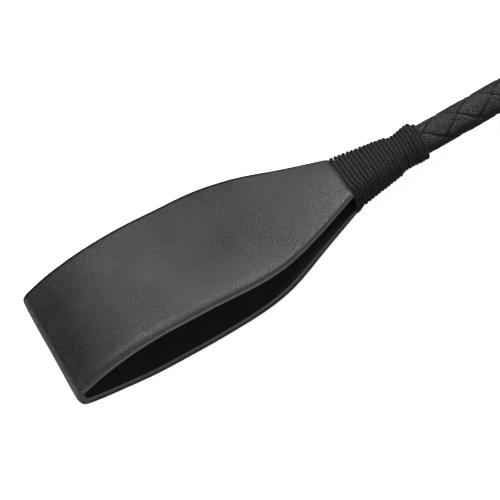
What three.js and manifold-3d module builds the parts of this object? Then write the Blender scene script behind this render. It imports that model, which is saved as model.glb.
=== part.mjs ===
// Riding crop: a folded leather keeper bound to a plaited shaft, with a wrapped grip and a wrist loop.
// Millimetres. The crop lies flat along X, keeper towards -X, and +Z is up.
// It is drawn from the keeper's fold (x = 0) with the shaft's axis on z = 0, and stood on z = 0 at the end.
import * as THREE from 'three';
import { mergeVertices } from 'three/addons/utils/BufferGeometryUtils.js';
import Module from 'manifold-3d';

const wasm = await Module();
wasm.setup();

// ---- driving dimensions -------------------------------------------------------------------------

const GAP = 0.3; // clear space between touching pieces

// Keeper: one strap of two plies, folded double
const KEEPER_WIDTH = 46.5;
const NECK_WIDTH = 17.4;
const NECK_X = 111; // where the binding starts
const SHOULDER_X = 77; // where the sides start to run in
const SHOULDER_ROUNDING = 4.4;
const PLY = 1.2;
const KEEPER_END_X = 107.5; // the part that flexes ends here, short of the bound tails
const KEEPER_PROFILE_POINTS = 60;

// Binding: a cord wound over the keeper's tails, then over the end of the plait
const CORD_DIAMETER = 1.1;
const CORD_PITCH = 1.32;
const CORD_STEPS_PER_TURN = 11;
const CORD_SIDES = 6;
const BINDING_START_X = 111.9;
const TAIL_TURNS = 14;
const SHAFT_TURNS = 7.5;

// Shaft
const ROD_RADIUS = 2;
const ROD_START_X = 111.2;
const ROD_END_X = 459;
const BOLSTER_OUTER_RADIUS = 2.75;
const SHAFT_RADIUS = 5.15;
const STRANDS_EACH_WAY = 3;
const PLAIT_PITCH = 39.5;
const PLAIT_CYCLE = PLAIT_PITCH / STRANDS_EACH_WAY; // one over and one under, along the shaft
const PLAIT_CROSSING_X = 154.5; // a point where the corners of four strands meet
const PLAIT_CROSSING_ANGLE = THREE.MathUtils.degToRad(105.5);
const PLAIT_START_X = PLAIT_CROSSING_X - 2 * PLAIT_CYCLE; // the strands cross squarely at both ends
const PLAIT_END_X = PLAIT_CROSSING_X + 14.5 * PLAIT_CYCLE;
const STRAND_WIDTH = 4.6;
const STRAND_THICKNESS = 0.6;
const STRAND_OVER_RADIUS = 4.85;
const STRAND_UNDER_RADIUS = 3.75;
const STRAND_FLAT = 0.17; // half of a flat stretch, as a part of one over-and-under cycle

// Grip
const GRIP_START_X = 345.8;
const GRIP_END_X = 452.6;
const GRIP_CORE_RADIUS = 6;
const GRIP_OUTER_RADIUS = 7.3;
const GRIP_WRAP_START_X = 358;
const GRIP_WRAP_TURNS = 4.5;
const GRIP_WRAP_PITCH = 17.6;
const KNOT_RADIUS = 9.3;

// Butt cap, with the wrist strap's ends pinned in its slot
const CAP_START_X = 453;
const CAP_END_X = 467;
const CAP_RADIUS = 9.7; // as deep as the keeper's belly, so the crop lies level
const CAP_EDGE = 2.6;
const SLOT_HALF_WIDTH = 2.5;
const SLOT_START_X = 459.8;
const PIN_RADIUS = 1;
const PIN_X = 463.2;

// Wrist strap
const STRAP_WIDTH = 9;
const STRAP_THICKNESS = 1.8;
const STRAP_START_X = 471.6; // leaves room to swing sideways clear of the cap
const STRAP_LENGTH = 150;
const STRAP_DROOP = THREE.MathUtils.degToRad(1.97); // brings the loop's far end down to the ground
const RIVET_X = 9; // from the start of the loop
const RIVET_RADIUS = 1.5;

// ---- finishes -----------------------------------------------------------------------------------

const finish = (color, roughness, metalness = 0) => new THREE.MeshStandardMaterial({ color, roughness, metalness });
const leather = () => finish(0x2a2a2b, 0.5);
const lining = () => finish(0x151516, 0.9);
const cord = () => finish(0x1f1f20, 0.75);
const fibreglass = () => finish(0x1c1c1c, 0.35);
const tape = () => finish(0x9a9488, 0.9);
const rubber = () => finish(0x202020, 0.85);
const plastic = () => finish(0x18181a, 0.3);
const steel = () => finish(0x8c8c8e, 0.35, 1);

// ---- helpers ------------------------------------------------------------------------------------

// A closed solid from a geometry's positions alone.
function toSolid(geometry) {
  geometry.deleteAttribute('normal');
  geometry.deleteAttribute('uv');
  const merged = mergeVertices(geometry, 1e-4);
  const vertProperties = new Float32Array(merged.attributes.position.array);
  const triVerts = new Uint32Array(merged.index.array);
  return new wasm.Manifold(new wasm.Mesh({ numProp: 3, vertProperties, triVerts }));
}

function toGeometry(solid) {
  const { vertProperties, triVerts } = solid.getMesh();
  const geometry = new THREE.BufferGeometry();
  geometry.setAttribute('position', new THREE.BufferAttribute(vertProperties, 3));
  geometry.setIndex(new THREE.BufferAttribute(triVerts, 1));
  return geometry;
}

const cut = (geometry, tool) => toGeometry(toSolid(geometry).subtract(toSolid(tool)));
const common = (geometry, tool) => toGeometry(toSolid(geometry).intersect(toSolid(tool)));

// Moves every vertex to place(x, y, z).
function bend(geometry, place) {
  const position = geometry.attributes.position;
  for (let i = 0; i < position.count; i += 1) {
    position.setXYZ(i, ...place(position.getX(i), position.getY(i), position.getZ(i)));
  }
  return geometry;
}

// A turned piece about the X axis, from [x, radius] pairs that run along the outside towards +X.
function turned(profile, sides) {
  const points = profile.map(([x, radius]) => new THREE.Vector2(radius, x));
  return new THREE.LatheGeometry(points, sides).rotateZ(-Math.PI / 2);
}

function ring(startX, endX, innerRadius, outerRadius, sides) {
  return turned([
    [startX, innerRadius],
    [startX, outerRadius],
    [endX, outerRadius],
    [endX, innerRadius],
    [startX, innerRadius],
  ], sides);
}

function box(xs, ys, zs) {
  const middle = ([low, high]) => (low + high) / 2;
  return new THREE.BoxGeometry(xs[1] - xs[0], ys[1] - ys[0], zs[1] - zs[0])
    .translate(middle(xs), middle(ys), middle(zs));
}

// The polyline moved sideways by distance, without the points that a tight bend would fold over.
function inset(line, distance) {
  const moved = line.map((point, i) => {
    const before = line[Math.max(i - 1, 0)];
    const after = line[Math.min(i + 1, line.length - 1)];
    const along = after.clone().sub(before).normalize();
    return new THREE.Vector2(point.x - along.y * distance, point.y + along.x * distance);
  });
  return moved.filter((point) => line.every((other) => point.distanceTo(other) > distance - 0.02));
}

// A flat strip bent along a line: the outline between two insets of it, drawn out by depth along +Z.
function strip(line, near, far, depth) {
  const outline = [...inset(line, near), ...inset(line, far).reverse()];
  return new THREE.ExtrudeGeometry(new THREE.Shape(outline), { depth, bevelEnabled: false });
}

// ---- keeper -------------------------------------------------------------------------------------

// Outside of the folded strap, seen from the side, from the upper tail round the fold to the lower one.
const KEEPER_SIDE = [
  [111, 5], [94.6, 5.1], [76.4, 6.9], [58.2, 9.1], [40, 10.4], [25.5, 9.9], [12.7, 7.9], [4.4, 5.2],
  [1.2, 3.6], [0, 1.2], [1.1, -1.9], [4.4, -5.1], [12.7, -7.2], [25.5, -8.9], [40, -9.6], [58.2, -9.6],
  [76.4, -8.5], [94.6, -6.6], [111, -5.7],
];

// Full width up to the shoulder, then a straight run in to the neck, with a round shoulder between.
function keeperWidth(x) {
  const slope = (KEEPER_WIDTH - NECK_WIDTH) / (NECK_X - SHOULDER_X);
  const straight = KEEPER_WIDTH - (x - SHOULDER_X) * slope;
  const round = SHOULDER_ROUNDING;
  return -round * Math.log(Math.exp(-KEEPER_WIDTH / round) + Math.exp(-straight / round));
}

function keeperPlan() {
  const stations = [60, 65, 70, 74, 78, 82, 86, 92, KEEPER_END_X];
  const sides = stations.map((x) => new THREE.Vector2(x, keeperWidth(x) / 2));
  const half = [new THREE.Vector2(-1, KEEPER_WIDTH / 2), ...sides];
  const other = half.map((point) => new THREE.Vector2(point.x, -point.y)).reverse();
  return new THREE.ExtrudeGeometry(new THREE.Shape([...other, ...half]), { depth: 40, bevelEnabled: false })
    .translate(0, 0, -20);
}

function keeperPly(near, far) {
  const side = new THREE.SplineCurve(KEEPER_SIDE.map(([x, z]) => new THREE.Vector2(x, z)));
  const flat = strip(side.getPoints(KEEPER_PROFILE_POINTS), near, far, KEEPER_WIDTH + 2);
  flat.rotateX(Math.PI / 2).translate(0, KEEPER_WIDTH / 2 + 1, 0);
  return common(flat, keeperPlan());
}

// ---- binding ------------------------------------------------------------------------------------

const BINDING_STEP_X = BINDING_START_X + TAIL_TURNS * CORD_PITCH;
const BINDING_END_X = BINDING_STEP_X + SHAFT_TURNS * CORD_PITCH;

// How far along the tails x is, from 0 at the keeper to 1 at the plait.
const alongTails = (x) => THREE.MathUtils.clamp((x - NECK_X) / (BINDING_STEP_X - NECK_X), 0, 1);

// The bound tails' section: a rounded oblong at the keeper that runs in to a round at the plait.
function boundPoint(x, angle, outwards) {
  const t = alongTails(x);
  const halfWidth = THREE.MathUtils.lerp(8.3, 6.3, t) + outwards;
  const halfHeight = THREE.MathUtils.lerp(5.4, 5.9, t) + outwards;
  const power = 2 / THREE.MathUtils.lerp(3, 2, t);
  const corner = (value) => Math.sign(value) * Math.abs(value) ** power;
  return [halfWidth * corner(Math.cos(angle)), halfHeight * corner(Math.sin(angle)) + 0.1 * (1 - t)];
}

class BindingRoute extends THREE.Curve {
  getPoint(t, target = new THREE.Vector3()) {
    const turns = t * (TAIL_TURNS + SHAFT_TURNS);
    const angle = -turns * 2 * Math.PI - Math.PI / 2;
    const x = BINDING_START_X + turns * CORD_PITCH;
    const overTails = boundPoint(x, angle, CORD_DIAMETER / 2 + 2 * GAP);
    const radius = SHAFT_RADIUS + CORD_DIAMETER / 2 + 1.3 * GAP;
    const overShaft = [radius * Math.cos(angle), radius * Math.sin(angle)];
    const down = THREE.MathUtils.smoothstep(x, BINDING_STEP_X - CORD_PITCH / 2, BINDING_STEP_X + CORD_PITCH / 2);
    const y = THREE.MathUtils.lerp(overTails[0], overShaft[0], down);
    const z = THREE.MathUtils.lerp(overTails[1], overShaft[1], down);
    return target.set(x, y, z);
  }
}

function bindingCord() {
  const section = new THREE.Shape();
  for (let i = 0; i < CORD_SIDES; i += 1) {
    const angle = (i * 2 * Math.PI) / CORD_SIDES;
    const point = [Math.cos(angle) * CORD_DIAMETER / 2, Math.sin(angle) * CORD_DIAMETER / 2];
    if (i === 0) section.moveTo(...point);
    else section.lineTo(...point);
  }
  const route = new BindingRoute();
  route.arcLengthDivisions = 4000;
  const steps = Math.round((TAIL_TURNS + SHAFT_TURNS) * CORD_STEPS_PER_TURN);
  return new THREE.ExtrudeGeometry(section, { steps, extrudePath: route, bevelEnabled: false });
}

// The tails fill the space inside the winding, above and below the rod.
function keeperTail(side) {
  const start = NECK_X - 0.5;
  const end = PLAIT_START_X - 0.8;
  const core = new THREE.CylinderGeometry(1, 1, end - start, 28, 4).rotateZ(-Math.PI / 2);
  bend(core, (x, y, z) => {
    const station = x + (start + end) / 2;
    const [across, up] = boundPoint(station, Math.atan2(z, y), 0);
    const reach = Math.hypot(y, z);
    return [station, across * reach, up * reach];
  });
  const heights = side > 0 ? [ROD_RADIUS + GAP, 9] : [-9, -ROD_RADIUS - GAP];
  return common(core, box([start - 1, end + 1], [-10, 10], heights));
}

// ---- plait --------------------------------------------------------------------------------------

// Over-and-under cycles at x: a whole number in the middle of a stretch over the other strands.
const strandCycles = (x, way) => (x - PLAIT_CROSSING_X) / PLAIT_CYCLE + (way > 0 ? 0.5 : 0);

// The places along the shaft where a strand's flat stretches start, peak and end.
function strandStations(way) {
  const stations = [PLAIT_START_X];
  const firstHalf = Math.floor(2 * strandCycles(PLAIT_START_X, way));
  const lastHalf = Math.ceil(2 * strandCycles(PLAIT_END_X, way));
  for (let half = firstHalf; half <= lastHalf; half += 1) {
    for (const edge of [-STRAND_FLAT, 0, STRAND_FLAT]) {
      const x = PLAIT_START_X + (half / 2 + edge - strandCycles(PLAIT_START_X, way)) * PLAIT_CYCLE;
      if (x > PLAIT_START_X + 0.8 && x < PLAIT_END_X - 0.8) stations.push(x);
    }
  }
  stations.push(PLAIT_END_X);
  return stations;
}

// A strand's radius: over for half of each cycle and under for the other half, with ramps between.
function strandRadius(x, way) {
  const wave = Math.cos(2 * Math.PI * strandCycles(x, way));
  const over = THREE.MathUtils.clamp(wave / Math.cos(2 * Math.PI * STRAND_FLAT), -1, 1);
  return THREE.MathUtils.lerp(STRAND_UNDER_RADIUS, STRAND_OVER_RADIUS, (over + 1) / 2);
}

// way is 1 or -1 for the two directions of winding.
function plaitStrand(way, index) {
  const stations = strandStations(way);
  const steps = stations.length - 1;
  const lean = Math.atan2(2 * Math.PI * STRAND_OVER_RADIUS, PLAIT_PITCH);
  const startAngle = PLAIT_CROSSING_ANGLE + (2 * index + way) * Math.PI / STRANDS_EACH_WAY;
  return bend(new THREE.BoxGeometry(1, 1, 1, steps, 2, 1), (x, y, z) => {
    const station = stations[Math.round((x + 0.5) * steps)];
    const square = station === PLAIT_START_X || station === PLAIT_END_X; // the ends are cut off square
    const across = y * STRAND_WIDTH;
    const radius = strandRadius(station, way) + z * STRAND_THICKNESS;
    const turn = way * 2 * Math.PI * (station - PLAIT_CROSSING_X) / PLAIT_PITCH;
    const sideways = square ? across / Math.cos(lean) : across * Math.cos(lean);
    const angle = startAngle + turn - sideways / radius;
    const shift = square ? 0 : way * across * Math.sin(lean);
    return [station + shift, radius * Math.cos(angle), radius * Math.sin(angle)];
  });
}

// ---- grip ---------------------------------------------------------------------------------------

// A leather strip wound edge to edge round the grip's core.
function gripWrap() {
  const steps = Math.round(GRIP_WRAP_TURNS * 18);
  const width = GRIP_WRAP_PITCH - GAP;
  const thickness = GRIP_OUTER_RADIUS - GRIP_CORE_RADIUS - GAP;
  return bend(new THREE.BoxGeometry(1, 1, 1, steps, 1, 1), (x, y, z) => {
    const turns = (x + 0.5) * GRIP_WRAP_TURNS;
    const radius = GRIP_CORE_RADIUS + GAP + (z + 0.5) * thickness;
    const angle = 2 * Math.PI * turns;
    const along = GRIP_WRAP_START_X + turns * GRIP_WRAP_PITCH + y * width;
    return [along, radius * Math.cos(angle), radius * Math.sin(angle)];
  });
}

function frontKnot() {
  const overGrip = GRIP_OUTER_RADIUS + GAP;
  const overCore = GRIP_CORE_RADIUS + 2 * GAP;
  const overShaft = SHAFT_RADIUS + GAP;
  return turned([
    [340, overShaft], [340.2, 6.8], [342, 8.4], [345.5, KNOT_RADIUS], [350, KNOT_RADIUS], [352.6, 8.6],
    [352.8, overGrip], [348.4, overGrip], [348, overCore], [344.8, overCore], [344.4, overShaft],
    [340, overShaft],
  ], 24);
}

function rearKnot() {
  const inner = GRIP_OUTER_RADIUS + GAP;
  return turned([
    [440, inner], [440.2, 8.6], [442.6, KNOT_RADIUS], [449.8, KNOT_RADIUS], [452.4, 8.6], [452.6, inner],
    [440, inner],
  ], 24);
}

// ---- butt cap and wrist strap -------------------------------------------------------------------

function buttCap() {
  const body = turned([
    [CAP_START_X, 0], [CAP_START_X, CAP_RADIUS - 1], [CAP_START_X + 1, CAP_RADIUS],
    [CAP_END_X - CAP_EDGE, CAP_RADIUS], [CAP_END_X - 0.8, CAP_RADIUS - 0.8],
    [CAP_END_X, CAP_RADIUS - CAP_EDGE], [CAP_END_X, 0],
  ], 32);
  const bore = turned([
    [CAP_START_X - 1, 0], [CAP_START_X - 1, ROD_RADIUS + GAP], [ROD_END_X + GAP, ROD_RADIUS + GAP],
    [ROD_END_X + GAP, 0],
  ], 20);
  const halfStrap = STRAP_WIDTH / 2 + GAP;
  const slot = box([SLOT_START_X, CAP_END_X + 1], [-SLOT_HALF_WIDTH, SLOT_HALF_WIDTH], [-halfStrap, halfStrap]);
  const pinHole = new THREE.CylinderGeometry(PIN_RADIUS + GAP, PIN_RADIUS + GAP, 30, 16).translate(PIN_X, 0, 0);
  return [bore, slot, pinHole].reduce(cut, body);
}

function buttPin() {
  return new THREE.CylinderGeometry(PIN_RADIUS, PIN_RADIUS, 2 * CAP_RADIUS - 0.6, 16).translate(PIN_X, 0, 0);
}

// One of the strap's two ends in the cap's slot, with the pin's hole through it.
function strapEnd(side) {
  const near = side * GAP / 2;
  const far = side * (GAP / 2 + STRAP_THICKNESS);
  const halfStrap = STRAP_WIDTH / 2;
  const blank = box([SLOT_START_X + GAP, CAP_END_X - 0.5], [Math.min(near, far), Math.max(near, far)],
    [-halfStrap, halfStrap]);
  const hole = new THREE.CylinderGeometry(PIN_RADIUS + GAP, PIN_RADIUS + GAP, 30, 16).translate(PIN_X, 0, 0);
  return cut(blank, hole);
}

// The strap is drawn from x = 0 where it leaves the cap: two legs side by side that open into a teardrop.
function wristStrap() {
  const legs = GAP / 2 + STRAP_THICKNESS;
  const half = [[0, legs], [8, legs], [17, legs], [34, 5], [62, 15], [92, 23.5], [118, 26.5], [137, 22],
    [146.5, 12]];
  const points = [...half, [STRAP_LENGTH, 0], ...half.map(([x, y]) => [x, -y]).reverse()];
  const outside = new THREE.SplineCurve(points.map(([x, y]) => new THREE.Vector2(x, y)));
  const flat = strip(outside.getPoints(60).reverse(), 0, STRAP_THICKNESS, STRAP_WIDTH);
  flat.translate(0, 0, -STRAP_WIDTH / 2);
  const hole = new THREE.CylinderGeometry(RIVET_RADIUS + GAP, RIVET_RADIUS + GAP, 20, 16).translate(RIVET_X, 0, 0);
  return cut(flat, hole);
}

function strapRivet() {
  const legs = GAP / 2 + STRAP_THICKNESS;
  const head = 2.9;
  const half = [[0, RIVET_RADIUS], [legs + GAP, RIVET_RADIUS], [legs + GAP, head], [legs + 0.8, head - 0.2],
    [legs + 1.3, head - 1.2], [legs + 1.4, 0]];
  const profile = [...half.slice(1).map(([y, radius]) => [-y, radius]).reverse(), ...half.slice(1)];
  return turned(profile, 20).rotateZ(Math.PI / 2).translate(RIVET_X, 0, 0);
}

// ---- assembly -----------------------------------------------------------------------------------

const crop = new THREE.Group();

function add(name, geometry, material, group = crop) {
  const mesh = new THREE.Mesh(geometry, material);
  mesh.name = name;
  group.add(mesh);
}

add('keeper_face', keeperPly(0, PLY), leather());
add('keeper_lining', keeperPly(PLY + GAP, 2 * PLY + GAP), lining());
add('keeper_tail_upper', keeperTail(1), leather());
add('keeper_tail_lower', keeperTail(-1), leather());
add('binding_cord', bindingCord(), cord());

add('core_rod', turned([[ROD_START_X, 0], [ROD_START_X, ROD_RADIUS], [ROD_END_X, ROD_RADIUS], [ROD_END_X, 0]], 16),
  fibreglass());
add('shaft_bolster', ring(PLAIT_START_X, GRIP_START_X - 0.5, ROD_RADIUS + GAP, BOLSTER_OUTER_RADIUS, 20), tape());
for (let i = 0; i < STRANDS_EACH_WAY; i += 1) {
  add(`plait_strand_right_${i + 1}`, plaitStrand(1, i), leather());
  add(`plait_strand_left_${i + 1}`, plaitStrand(-1, i), leather());
}

add('grip_core', ring(GRIP_START_X, GRIP_END_X, ROD_RADIUS + GAP, GRIP_CORE_RADIUS, 20), rubber());
add('grip_wrap', gripWrap(), leather());
add('front_knot', frontKnot(), leather());
add('rear_knot', rearKnot(), leather());

add('butt_cap', buttCap(), plastic());
add('butt_pin', buttPin(), steel());
add('strap_end_left', strapEnd(1), leather());
add('strap_end_right', strapEnd(-1), leather());

const loop = new THREE.Group();
loop.position.set(STRAP_START_X, 0, 0);
loop.rotation.y = STRAP_DROOP;
crop.add(loop);
add('wrist_strap', wristStrap(), leather(), loop);
add('strap_rivet', strapRivet(), steel(), loop);

// Stand the crop on z = 0, with the middle of its length on x = 0.
const extent = new THREE.Box3().setFromObject(crop);
crop.position.set(-(extent.min.x + extent.max.x) / 2, 0, -extent.min.z);

export default crop;
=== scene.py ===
import math

import bpy
import numpy as np
from mathutils import Matrix, Vector


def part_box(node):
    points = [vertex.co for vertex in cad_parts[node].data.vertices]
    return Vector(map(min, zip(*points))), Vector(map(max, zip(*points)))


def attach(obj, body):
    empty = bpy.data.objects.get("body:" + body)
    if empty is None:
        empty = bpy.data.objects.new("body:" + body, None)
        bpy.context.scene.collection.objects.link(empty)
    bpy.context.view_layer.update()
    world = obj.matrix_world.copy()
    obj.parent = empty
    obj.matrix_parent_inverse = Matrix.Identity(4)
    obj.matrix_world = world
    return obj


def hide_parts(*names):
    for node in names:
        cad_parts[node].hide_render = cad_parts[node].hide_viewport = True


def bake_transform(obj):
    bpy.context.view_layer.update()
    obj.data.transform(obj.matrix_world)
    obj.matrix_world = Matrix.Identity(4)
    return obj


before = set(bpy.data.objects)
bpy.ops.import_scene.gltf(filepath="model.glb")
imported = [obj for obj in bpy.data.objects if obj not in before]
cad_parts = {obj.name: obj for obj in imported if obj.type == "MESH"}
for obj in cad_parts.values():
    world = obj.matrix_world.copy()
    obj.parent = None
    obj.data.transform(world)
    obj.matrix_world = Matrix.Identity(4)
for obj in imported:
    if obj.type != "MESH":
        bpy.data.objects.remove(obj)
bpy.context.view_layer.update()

# The crop is drawn in millimetres from the keeper's fold (x = 0) with the shaft's axis on z = 0, as in the
# CAD model. row() turns such points into the row frame, in metres.
MM = 0.001
FACE_LOW, FACE_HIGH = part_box("keeper_face")
ROD_LOW, ROD_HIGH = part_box("core_rod")
FOLD = Vector((FACE_LOW.x, 0, (ROD_LOW.z + ROD_HIGH.z) / 2))
KEEPER_WIDTH = (FACE_HIGH.y - FACE_LOW.y) / MM


def row(points):
    return np.asarray(points, float) * MM + np.array(FOLD)


# ---- driving sizes, in mm ------------------------------------------------------------------------

# Keeper: one strap of two plies, folded double
STRAP_THICKNESS = 2.7
TOP_PLY = 1.95  # depth of the leather. A painted lip covers the lining's edge below it
SECTION_CORNER = 0.35
NECK_WIDTH = 17.4
NECK_X = 111.0  # where the binding starts
SHOULDER_X = 77.0  # where the sides start to run in
SHOULDER_ROUNDING = 4.4
NEAR_ROLL = 0.45  # how far the near edge rolls over
FAR_ROLL = 0.12
ROLL_REACH = 2.4
NECK_CROWN = 0.6  # rise of the leather's middle at the neck
NECK_SQUEEZE = 0.22  # share of the thickness that the binding presses out
SWELL = 0.07  # height of the slow waves in the leather

# Binding
CORD_PITCH = 1.32
CORD_WIDTH = 1.3
CORD_HEIGHT = 1.15
YARN_LENGTH = 0.8  # one yarn of the braid, along the cord and round it
YARN_WIDTH = 0.66
BINDING_START_X = 111.9
TAIL_TURNS = 14
SHAFT_TURNS = 7.5
BINDING_START_ANGLE = math.radians(232)
BURIED_TAIL_ANGLE = math.radians(58)
BINDING_STEP_X = BINDING_START_X + TAIL_TURNS * CORD_PITCH
BINDING_END_X = BINDING_START_X + (TAIL_TURNS + SHAFT_TURNS) * CORD_PITCH

# Shaft
SHAFT_RADIUS = 5.25
STRAND_THICKNESS = 0.95
PLAIT_PITCH = 39.5
PLAIT_CROSSING_X = 154.5
PLAIT_CROSSING_ANGLE = math.radians(105.5)
PLAIT_START_X = 129.5
PLAIT_END_X = 345.4

# Grip
GRIP_CORE_RADIUS = 6.0
GRIP_RADIUS = 7.3
GRIP_WRAP_START_X = 358.0
GRIP_WRAP_TURNS = 4.5
GRIP_WRAP_PITCH = 17.6

# Butt cap
CAP_START_X = 453.0
CAP_END_X = 467.0
CAP_RADIUS = 9.7
SLOT_START_X = 459.8
PIN_X = 463.2
PIN_RADIUS = 1.0

# Wrist strap
WRIST_WIDTH = 9.0
WRIST_THICKNESS = 1.8
WRIST_START_X = 471.6
WRIST_LENGTH = 150.0
WRIST_DROOP = math.radians(1.97)
WRIST_LEG_OFFSET = 0.15 + WRIST_THICKNESS  # outer face of each leg, from the middle
RIVET_X = 9.0  # from the strap's start

rng = np.random.default_rng(7)


# ---- mesh helpers --------------------------------------------------------------------------------


def spline(points, per_segment):
    """A smooth line through the points, the same curve as the CAD model's outlines."""
    points = np.asarray(points, float)
    last = len(points) - 1
    line = []
    for i in range(last):
        a, b, c, d = (points[min(max(j, 0), last)] for j in (i - 1, i, i + 1, i + 2))
        for t in np.linspace(0, 1, per_segment, endpoint=False):
            square = (2 * a - 5 * b + 4 * c - d) * t**2
            cube = (3 * b - a - 3 * c + d) * t**3
            line.append(0.5 * (2 * b + (c - a) * t + square + cube))
    line.append(points[last])
    return np.array(line)


def lengths(line):
    """How far along the line each of its points lies."""
    steps = np.linalg.norm(np.diff(line, axis=0), axis=1)
    return np.concatenate([[0], np.cumsum(steps)])


def resample(line, stations):
    """The line's points at the given distances along it."""
    along = lengths(line)
    return np.stack([np.interp(stations, along, line[:, k]) for k in range(line.shape[1])], 1)


def tangents(line):
    t = np.gradient(line, axis=0)
    return t / np.linalg.norm(t, axis=1)[:, None]


def inset(line, distance):
    """The line, moved to its left by distance. Points that a tight bend would fold over are drawn in."""
    t = tangents(line)
    moved = line + distance * np.stack([-t[:, 1], t[:, 0]], 1)
    far = np.array([np.linalg.norm(line - p, axis=1).min() > distance - 0.03 for p in moved])
    index = np.arange(len(line))
    return np.stack([np.interp(index, index[far], moved[far, k]) for k in (0, 1)], 1)


def ease(values, start, end):
    """0 up to start, 1 from end on, and smooth between them."""
    t = np.clip((values - start) / (end - start), 0, 1)
    return t * t * (3 - 2 * t)


def ripples(a, b, wavelength, seed):
    """A smooth random field of about unit height over two coordinates."""
    random = np.random.default_rng(seed)
    total = np.zeros(np.broadcast(a, b).shape)
    for _ in range(9):
        angle = random.uniform(0, 2 * math.pi)
        k = 2 * math.pi / (wavelength * random.uniform(0.6, 1.7))
        phase = random.uniform(0, 2 * math.pi)
        total = total + np.sin(k * (a * math.cos(angle) + b * math.sin(angle)) + phase)
    return total / 3


def mesh_object(name, points, faces, materials, face_material=None, sheets=None, smooth=True):
    """points are in drawing millimetres. Each sheet holds one (u, v) in metres for each face corner."""
    mesh = bpy.data.meshes.new(name)
    mesh.from_pydata(row(points).tolist(), [], faces)
    for material in materials:
        mesh.materials.append(material)
    if face_material is not None:
        mesh.polygons.foreach_set("material_index", face_material)
    for sheet, corners in (sheets or {}).items():
        mesh.uv_layers.new(name=sheet).data.foreach_set("uv", np.asarray(corners, np.float32).ravel())
    mesh.polygons.foreach_set("use_smooth", [smooth] * len(mesh.polygons))
    mesh.validate()
    obj = bpy.data.objects.new(name, mesh)
    bpy.context.scene.collection.objects.link(obj)
    return obj


def swept(name, rings, materials, around_material=None, closed=False):
    """A tube through rings of points, (stations, points round, 3), with flat ends or joined end to end.

    On the sheet "Flat" an edge of the piece keeps one v from end to end. On "Grain" v is a true length.
    """
    stations, count, _ = rings.shape
    centres = rings.mean(axis=1)
    along = lengths(np.vstack([centres, centres[:1]]) if closed else centres) * MM
    widest = rings[stations // 2]
    around = lengths(np.vstack([widest, widest[:1]])) * MM
    girths = np.array([lengths(np.vstack([ring, ring[:1]]))[-1] for ring in rings])
    shares = girths / girths[stations // 2]
    faces, flat, grain, material = [], [], [], []
    last = stations if closed else stations - 1
    for i in range(last):
        j = (i + 1) % stations
        for k in range(count):
            m = (k + 1) % count
            faces.append((i * count + k, j * count + k, j * count + m, i * count + m))
            u0, u1, v0, v1 = along[i], along[i + 1], around[k], around[k + 1]
            flat += [(u0, v0), (u1, v0), (u1, v1), (u0, v1)]
            w0, w1 = v0 - around[-1] / 4, v1 - around[-1] / 4
            grain += [(u0, w0 * shares[i]), (u1, w0 * shares[j]), (u1, w1 * shares[j]), (u0, w1 * shares[i])]
            material.append(0 if around_material is None else around_material[k])
    if not closed:
        for ring, first in ((0, 0), (stations - 1, (stations - 1) * count)):
            loop = list(range(first, first + count))
            faces.append(tuple(loop if ring == 0 else loop[::-1]))
            corners = [(along[ring], v) for v in (around[:-1] if ring == 0 else around[:-1][::-1])]
            flat += corners
            grain += corners
            material.append(0 if around_material is None else max(around_material))
    sheets = {"Flat": flat, "Grain": grain}
    return mesh_object(name, rings.reshape(-1, 3), faces, materials, material, sheets)


def point_outwards(obj):
    """Turns a closed mesh's faces to point out, by the sign of its volume."""
    mesh = obj.data
    volume = 0.0
    for polygon in mesh.polygons:
        corners = [mesh.vertices[v].co for v in polygon.vertices]
        for b, c in zip(corners[1:], corners[2:]):
            volume += corners[0].dot(b.cross(c))
    if volume < 0:
        mesh.flip_normals()
    return obj


def turned(name, profile, material, sides=96, axis="X", centre=(0, 0, 0)):
    """A body of revolution from (distance along the axis, radius) pairs that start and end on the axis."""
    angles = np.linspace(0, 2 * math.pi, sides, endpoint=False)
    ends = [profile[0], profile[-1]]
    rings = np.array([[(x, r * math.cos(a), r * math.sin(a)) for a in angles] for x, r in profile[1:-1]])
    points = list(rings.reshape(-1, 3)) + [(ends[0][0], 0, 0), (ends[1][0], 0, 0)]
    faces = []
    for i in range(len(rings) - 1):
        for k in range(sides):
            m = (k + 1) % sides
            faces.append((i * sides + k, (i + 1) * sides + k, (i + 1) * sides + m, i * sides + m))
    tip, tail = len(points) - 2, len(points) - 1
    first = (len(rings) - 1) * sides
    faces += [(tip, k, (k + 1) % sides) for k in range(sides)]
    faces += [(tail, first + (k + 1) % sides, first + k) for k in range(sides)]
    points = np.array(points)
    if axis == "Y":
        points = points[:, [1, 0, 2]] * [1, 1, -1]
    obj = mesh_object(name, points + np.array(centre), faces, [material])
    obj.data.set_sharp_from_angle(angle=math.radians(35))
    return point_outwards(obj)


# ---- the keeper's outline and section ------------------------------------------------------------

# The keeper's outer face from the side, from the upper leaf's bound end round the fold to the lower leaf's.
KEEPER_SIDE = [
    (127, 5.6), (119, 5.3), (111, 5.0), (94.6, 5.15), (76.4, 6.95), (58.2, 9.1), (40, 10.38), (25.5, 9.95),
    (12.7, 7.9), (4.4, 5.2), (1.2, 3.6), (0, 1.2), (0.4, -1.8), (1.5, -3.9), (4.6, -5.1), (12.7, -6.9),
    (25.5, -8.75), (40, -9.62), (58.2, -9.62), (76.4, -8.4), (94.6, -6.2), (111, -5.5), (119, -5.6),
    (127, -5.8),
]
KEEPER_LINE = spline(KEEPER_SIDE, 40)
# Where the fold lies along the strap's middle, from the upper leaf's bound end, in metres.
FOLD_ALONG = lengths((KEEPER_LINE + inset(KEEPER_LINE, STRAP_THICKNESS)) / 2)[-1] / 2 * MM

# The zones of the section, by the number of their material on the strap.
LEATHER_ZONE, CUT_ZONE, LINING_ZONE, LIP_ZONE = range(4)


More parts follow.
